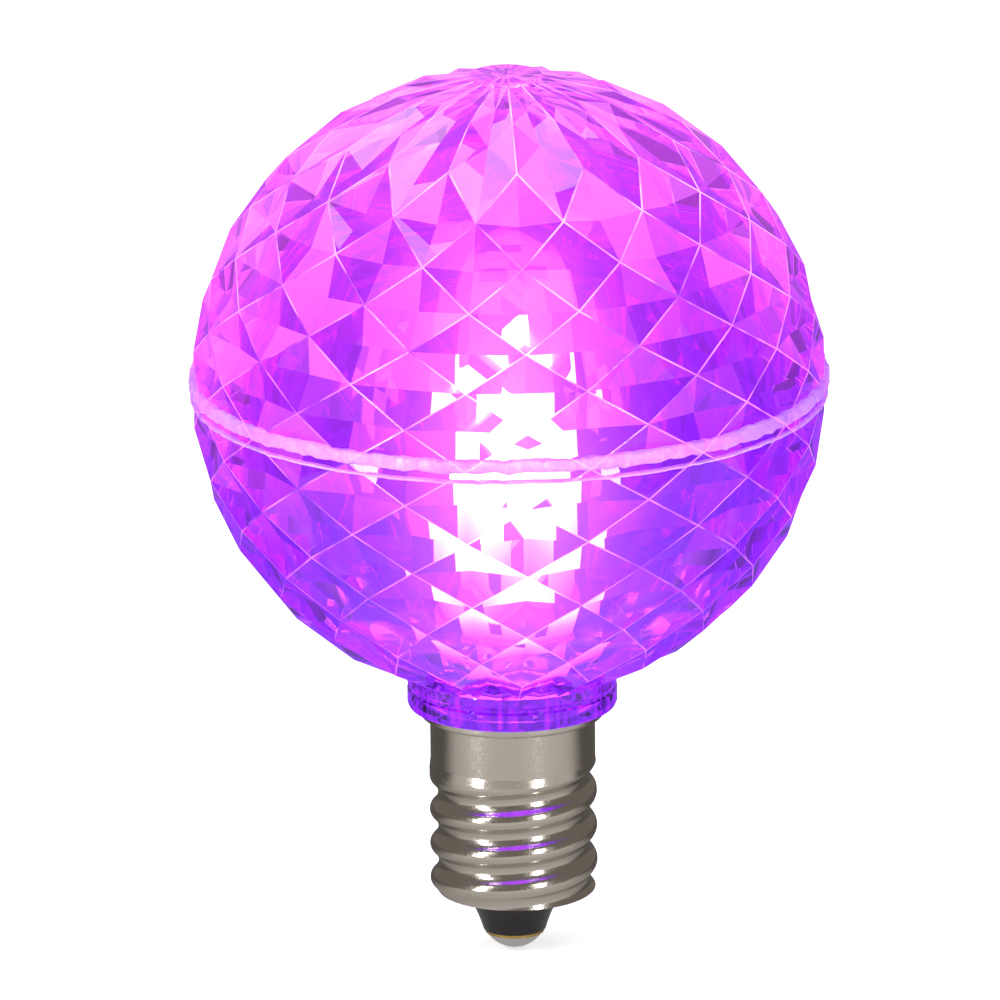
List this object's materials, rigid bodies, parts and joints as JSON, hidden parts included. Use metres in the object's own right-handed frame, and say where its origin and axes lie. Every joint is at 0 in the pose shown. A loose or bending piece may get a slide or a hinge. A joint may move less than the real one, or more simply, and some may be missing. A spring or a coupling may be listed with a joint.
{
  "type": "faceted led bulb",
  "caption": "Round light bulb with a two-piece violet globe cut in diamond facets, light-emitting diodes on an upright board inside, and a small metal screw base.",
  "frame": {"origin": "on the bulb's axis at the underside of the screw shell's flange, at the top of the plain land", "axes": "+Z along the axis towards the top of the globe, -Y towards the front face of the upright board"},
  "size_m": [0.0454, 0.0454, 0.0645],
  "materials": {
    "clear_violet_plastic": "clear violet polycarbonate, moulded with polished facets",
    "nickel_plated_brass": "nickel-plated rolled brass",
    "black_insulator": "glossy black moulded insulator",
    "contact_brass": "pressed brass eyelet",
    "solder": "solidified tin solder",
    "white_moulding": "white moulded plastic",
    "board_laminate": "glass-fibre laminate with white solder mask",
    "black_component": "black moulded component body",
    "capacitor_ceramic": "tan fired ceramic",
    "resistor_lacquer": "lacquered resistor body",
    "tinned_wire": "tinned copper wire",
    "diode_white_moulding": "white moulded diode package",
    "diode_gel": "clear silicone gel, lit"
  },
  "bodies": {
    "root": {"upper_globe_shell": "clear_violet_plastic", "lower_globe_shell": "clear_violet_plastic", "screw_shell": "nickel_plated_brass", "base_insulator": "black_insulator", "centre_contact": "contact_brass", "tip_solder": "solder", "board_plug": "white_moulding", "circuit_board": "board_laminate", "cap_board": "board_laminate", "bridge_rectifier": "black_component", "smoothing_capacitor": "capacitor_ceramic", "front_resistor": "black_component", "back_resistor": "black_component", "fusible_resistor": "resistor_lacquer", "live_lead_upper": "tinned_wire", "live_lead_lower": "tinned_wire", "neutral_lead": "tinned_wire", "neutral_solder": "solder", "diode_package_front_upper": "diode_white_moulding", "diode_gel_front_upper": "diode_gel", "diode_package_front_lower": "diode_white_moulding", "diode_gel_front_lower": "diode_gel", "diode_package_back_upper": "diode_white_moulding", "diode_gel_back_upper": "diode_gel", "diode_package_back_lower": "diode_white_moulding", "diode_gel_back_lower": "diode_gel", "diode_package_top": "diode_white_moulding", "diode_gel_top": "diode_gel"}
  },
  "joints": []
}
